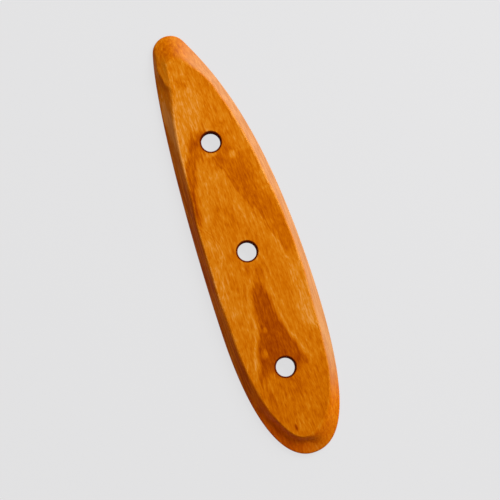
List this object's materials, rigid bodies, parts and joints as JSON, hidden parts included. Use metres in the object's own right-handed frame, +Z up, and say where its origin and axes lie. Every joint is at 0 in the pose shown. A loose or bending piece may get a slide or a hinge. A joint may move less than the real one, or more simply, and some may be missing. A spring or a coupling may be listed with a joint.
{
  "type": "hand scraper",
  "caption": "Leaf-shaped wooden hand scraper with a hollow bevel all round its face, a pointed tip, a round heel and through-holes on one line.",
  "frame": {"origin": "under the middle of the bounding box, on the flat back that the scraper lies on", "axes": "+Z up out of the bevelled face, +Y along the tool towards the pointed tip, +X across it towards the side with the fuller curve"},
  "size_m": [0.072, 0.305, 0.01],
  "materials": {
    "oiled_cherry": "oiled and hand-burnished, satin"
  },
  "bodies": {
    "root": {"scraper_blade": "oiled_cherry"}
  },
  "joints": []
}
